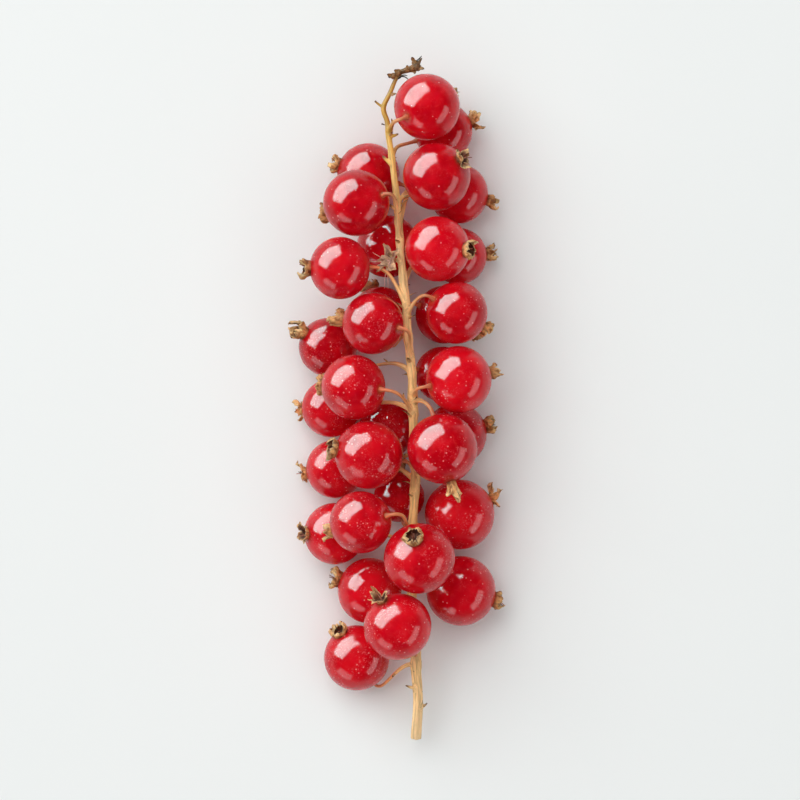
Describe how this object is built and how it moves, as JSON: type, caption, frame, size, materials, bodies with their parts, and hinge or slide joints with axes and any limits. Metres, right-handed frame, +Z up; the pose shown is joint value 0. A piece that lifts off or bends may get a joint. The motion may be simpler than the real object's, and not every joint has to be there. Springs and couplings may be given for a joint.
{
  "type": "sprig of redcurrants",
  "caption": "Sprig of ripe redcurrants as picked, lying down: a pale stem with short stalks, glossy translucent red berries and a dried flower on each.",
  "frame": {"origin": "on the surface that the sprig lies on, under the middle of its box", "axes": "+Y along the stem from the cut end to the withered tip, +X across the sprig, +Z up from the surface"},
  "size_m": [0.0298, 0.091, 0.0194],
  "materials": {
    "stem": "green wood and bark, satin, fine lengthwise fibres",
    "berry": "taut glossy translucent skin over juicy flesh",
    "dried_flower": "dry papery crumpled flower remains, matte"
  },
  "bodies": {
    "root": {"stem": "stem", "berry_01": "berry", "berry_02": "berry", "berry_03": "berry", "berry_04": "berry", "berry_05": "berry", "berry_06": "berry", "berry_07": "berry", "berry_08": "berry", "berry_09": "berry", "berry_10": "berry", "berry_11": "berry", "berry_12": "berry", "berry_13": "berry", "berry_14": "berry", "berry_15": "berry", "berry_16": "berry", "berry_17": "berry", "berry_18": "berry", "berry_19": "berry", "berry_20": "berry", "berry_21": "berry", "berry_22": "berry", "berry_23": "berry", "berry_24": "berry", "berry_25": "berry", "berry_26": "berry", "berry_27": "berry", "berry_28": "berry", "berry_29": "berry", "berry_30": "berry", "berry_31": "berry", "berry_32": "berry", "berry_33": "berry", "dried_flower_01": "dried_flower", "dried_flower_02": "dried_flower", "dried_flower_03": "dried_flower", "dried_flower_04": "dried_flower", "dried_flower_05": "dried_flower", "dried_flower_06": "dried_flower", "dried_flower_08": "dried_flower", "dried_flower_09": "dried_flower", "dried_flower_11": "dried_flower", "dried_flower_13": "dried_flower", "dried_flower_15": "dried_flower", "dried_flower_16": "dried_flower", "dried_flower_18": "dried_flower", "dried_flower_19": "dried_flower", "dried_flower_21": "dried_flower", "dried_flower_22": "dried_flower", "dried_flower_23": "dried_flower", "dried_flower_24": "dried_flower", "dried_flower_26": "dried_flower", "dried_flower_27": "dried_flower", "dried_flower_28": "dried_flower", "dried_flower_29": "dried_flower", "dried_flower_30": "dried_flower", "dried_flower_31": "dried_flower", "dried_flower_32": "dried_flower", "dried_flower_33": "dried_flower"}
  },
  "joints": []
}
